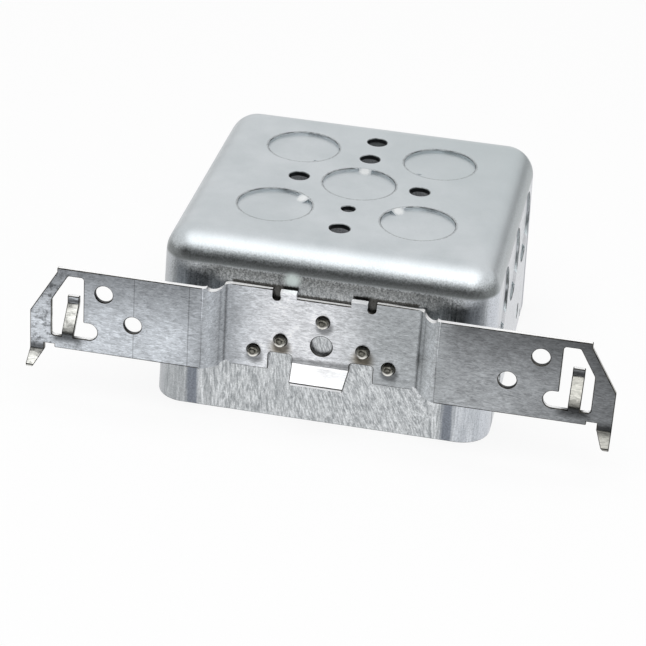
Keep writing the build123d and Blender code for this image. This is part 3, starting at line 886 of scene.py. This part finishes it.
class OUTLETBOX_OT_knockout_backs(bpy.types.Operator):
    """Raise the inner faces of the half-sheared knockouts"""

    bl_idname = "outlet_box.knockout_backs"
    bl_label = "Make Knockout Backs"

    def execute(self, context):
        places = [(Vector((x, y, BOX_HEIGHT)), Vector((0, 0, 1))) for x, y in BACK_KNOCKOUTS]
        places += [wall_point(turn, across, SIDE_HEIGHT) for turn, across in SIDE_KNOCKOUTS]
        profile = [
            ({"Wall": -1, "Step": -1}, {"Radius": 1, "Edge": -1}),
            ({"Wall": -1, "Step": -1, "Edge": 1}, {"Radius": 1}),
            ({"Wall": -1, "Edge": 1}, {"Radius": 1}),
        ]
        values = {
            "Wall": WALL,
            "Step": KNOCKOUT_STEP,
            "Radius": KNOCKOUT_RADIUS,
            "Edge": context.scene.outlet_box_sizes.box_edge,
        }
        tree = turned_tree("Knockout backs", list(values), profile)
        values["Finish"] = bpy.data.materials["drawn galvanised steel"]
        show(turned_pieces("knockout_backs", places, tree, values))
        return {"FINISHED"}


class OUTLETBOX_OT_bracket(bpy.types.Operator):
    """Dress the folded stud bracket"""

    bl_idname = "outlet_box.bracket"
    bl_label = "Dress Stud Bracket"

    def execute(self, context):
        finish = context.scene.outlet_box_finishes
        piece = softened_copy(
            "stud_bracket",
            "folded_bracket",
            context.scene.outlet_box_sizes.bracket_edge,
            self.on_fold,
            rolled_galvanised_steel(finish),
            sheared_steel("sheared bracket edge", finish.edge_dark, finish.edge_light),
        )
        show(piece)
        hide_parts("stud_bracket")
        return {"FINISHED"}

    def on_fold(self, spot):
        """Whether a spot is on a joggle or on one of the two small lugs, whose edges stay sharp."""
        on_joggle = JOGGLE_REACH[0] < abs(spot.x) < JOGGLE_REACH[1]
        on_lug = LUG_REACH[0] < abs(spot.x) < LUG_REACH[1] and spot.z > LUG_FOOT
        return on_joggle or on_lug


class OUTLETBOX_OT_rivets(bpy.types.Operator):
    """Set the five rivets that hold the bracket"""

    bl_idname = "outlet_box.rivets"
    bl_label = "Set Rivets"

    def execute(self, context):
        sizes = context.scene.outlet_box_sizes
        places = [wall_point(0, across, up) for across, up in RIVET_PLACES]
        profile = [
            ({"Wall": -1, "Head Height": -1}, {"Head Radius": 1, "Chamfer": -1}),
            ({"Wall": -1, "Head Height": -1, "Chamfer": 1}, {"Head Radius": 1}),
            ({"Wall": -1, "Gap": -1}, {"Head Radius": 1}),
            ({"Wall": -1}, {"Shank Radius": 1}),
            ({"Sheet": 1}, {"Shank Radius": 1}),
            ({"Sheet": 1, "Gap": 1}, {"End Radius": 1}),
        ]
        for turn in range(0, 91, DOME_STEP):
            rise, draw_in = sin(radians(turn)) - 1, cos(radians(turn)) - 1
            height = {"Sheet": 1, "End Height": 1, "Dome": rise}
            profile.append((height, {"End Radius": 1, "Dome": draw_in}))
        values = {
            "Wall": WALL,
            "Sheet": SHEET,
            "Gap": 0.01 * MM,
            "Shank Radius": sizes.rivet_shank,
            "End Radius": sizes.rivet_end,
            "End Height": sizes.rivet_end_height,
            "Dome": sizes.rivet_dome,
            "Chamfer": sizes.rivet_chamfer,
            "Head Radius": sizes.rivet_head,
            "Head Height": sizes.rivet_head_height,
        }
        tree = turned_tree("Rivets", list(values), profile)
        values["Unevenness"] = 0.03
        values["Finish"] = plated_rivet_steel(context.scene.outlet_box_finishes)
        piece = turned_pieces("set_rivets", places, tree, values)
        show(piece)
        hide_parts("bracket_rivets")
        return {"FINISHED"}


class OUTLETBOX_OT_stage(bpy.types.Operator):
    """Set the floor, cards, light and camera"""

    bl_idname = "outlet_box.stage"
    bl_label = "Set Stage"

    def execute(self, context):
        scene = context.scene
        scene.view_settings.view_transform = "Standard"
        self.add_floor(scene)
        self.add_cards(scene)
        self.add_light(scene)
        self.add_camera(scene)
        return {"FINISHED"}

    def add_sheet(self, scene, name, corners, material):
        """Flat stage sheet through its corners."""
        mesh = bpy.data.meshes.new(name)
        mesh.from_pydata(corners, [], [range(len(corners))])
        mesh.materials.append(material)
        sheet = bpy.data.objects.new(name, mesh)
        scene.collection.objects.link(sheet)
        return sheet

    def add_floor(self, scene):
        """Floor a little under the rim, so that the two don't lie in one plane."""
        reach = 6.0
        level = -0.05 * MM
        edge = [(-reach, -reach), (reach, -reach), (reach, reach), (-reach, reach)]
        corners = [(x, y, level) for x, y in edge]
        self.add_sheet(scene, "floor", corners, white_paper())

    def add_cards(self, scene):
        """Cards that only the metal mirrors: bright overhead, dark behind the camera, dimmer low down."""
        reach = 1.5
        overhead_edge = [(-0.75, 0.425), (-0.75, -0.925), (-0.27, -0.925)]
        overhead_edge += [(-0.12, -1.7), (0.75, -1.7), (0.75, 0.425)]
        overhead = [(x, y, 1.0) for x, y in overhead_edge]
        dark_edge = [(-reach, 0), (reach, 0), (reach, 0.38), (-0.05, 0.38), (-0.2, 0.78), (-reach, 0.78)]
        behind_camera = [(x, -1.0, z) for x, z in dark_edge]
        front = -HALF_WIDTH - 1.0 * MM
        in_front = [(-reach, -1.0, MM), (reach, -1.0, MM), (reach, front, MM), (-reach, front, MM)]
        back_right = [(0.2, 1.0, 0), (0.95, 0.3, 0), (0.95, 0.3, 0.17), (0.2, 1.0, 0.17)]
        back_left = [(-0.2, 1.0, 0), (-0.95, 0.4, 0), (-0.95, 0.4, 0.12), (-0.2, 1.0, 0.12)]
        cards = [
            ("overhead_card", overhead, "Y", ((0.4, 1.0), (-0.55, 2.25))),
            ("camera_side_card", behind_camera, "Z", ((0.3, 0.03), (0.0, 0.1))),
            ("front_card", in_front, "Y", ((-0.7, 0.3), (-0.12, 0.95))),
            ("back_right_card", back_right, "Z", ((0.0, 0.15), (0.17, 0.35))),
            ("back_left_card", back_left, "Z", ((0.0, 0.5), (0.12, 0.7))),
        ]
        for name, corners, axis, fade in cards:
            card = self.add_sheet(scene, name, corners, studio_card(name, axis, fade))
            card.visible_camera = False
            card.visible_diffuse = False
            card.visible_shadow = False
            card.visible_transmission = False

    def add_light(self, scene):
        """Softbox that the metal doesn't mirror, and a white world."""
        lamp = bpy.data.lights.new("softbox", "AREA")
        lamp.shape = "RECTANGLE"
        lamp.size = 1.3
        lamp.size_y = 1.35
        lamp.energy = 9.0
        softbox = bpy.data.objects.new("softbox", lamp)
        softbox.location = (0, -0.25, 1.1)
        softbox.visible_glossy = False
        scene.collection.objects.link(softbox)
        world = bpy.data.worlds.new("studio")
        world.use_nodes = True
        add = partial(add_node, world.node_tree)
        strength = add(FADE, {"Value": seen_share(add), "To Min": 0.5})
        set_inputs(world.node_tree.nodes["Background"], {"Color": (1, 1, 1, 1), "Strength": strength})
        scene.world = world

    def add_camera(self, scene):
        """Camera at the photograph's place and angle."""
        lens = bpy.data.cameras.new("camera")
        lens.lens = CAMERA_LENS
        lens.clip_start = 0.01
        camera = bpy.data.objects.new("camera", lens)
        back = Vector(
            (
                sin(CAMERA_AZIMUTH) * cos(CAMERA_ELEVATION),
                -cos(CAMERA_AZIMUTH) * cos(CAMERA_ELEVATION),
                sin(CAMERA_ELEVATION),
            )
        )
        level = Vector((cos(CAMERA_AZIMUTH), sin(CAMERA_AZIMUTH), 0))
        upright = back.cross(level)
        right = level * cos(CAMERA_ROLL) + upright * sin(CAMERA_ROLL)
        up = upright * cos(CAMERA_ROLL) - level * sin(CAMERA_ROLL)
        turn = Matrix((right, up, back)).transposed().to_4x4()
        camera.matrix_world = Matrix.Translation(CAMERA_PLACE) @ turn
        scene.collection.objects.link(camera)
        scene.camera = camera


class OUTLETBOX_PT_panel(bpy.types.Panel):
    """Sidebar list of the box's sizes, finishes and pieces"""

    bl_idname = "OUTLETBOX_PT_panel"
    bl_label = "Outlet Box"
    bl_space_type = "VIEW_3D"
    bl_region_type = "UI"
    bl_category = "Outlet Box"

    def draw(self, context):
        for group in (context.scene.outlet_box_sizes, context.scene.outlet_box_finishes):
            for name in group.__annotations__:
                self.layout.prop(group, name)
        for operator in OPERATORS:
            self.layout.operator(operator.bl_idname)


OPERATORS = (
    OUTLETBOX_OT_shell,
    OUTLETBOX_OT_knockout_backs,
    OUTLETBOX_OT_bracket,
    OUTLETBOX_OT_rivets,
    OUTLETBOX_OT_stage,
)
CLASSES = (OutletBoxSizes, OutletBoxFinishes, *OPERATORS, OUTLETBOX_PT_panel)


def register():
    for item in CLASSES:
        bpy.utils.register_class(item)
    bpy.types.Scene.outlet_box_sizes = PointerProperty(type=OutletBoxSizes)
    bpy.types.Scene.outlet_box_finishes = PointerProperty(type=OutletBoxFinishes)


def unregister():
    del bpy.types.Scene.outlet_box_finishes
    del bpy.types.Scene.outlet_box_sizes
    for item in reversed(CLASSES):
        bpy.utils.unregister_class(item)


def main():
    register()
    bpy.ops.outlet_box.shell()
    bpy.ops.outlet_box.knockout_backs()
    bpy.ops.outlet_box.bracket()
    bpy.ops.outlet_box.rivets()
    bpy.ops.outlet_box.stage()


if __name__ == "__main__":
    main()
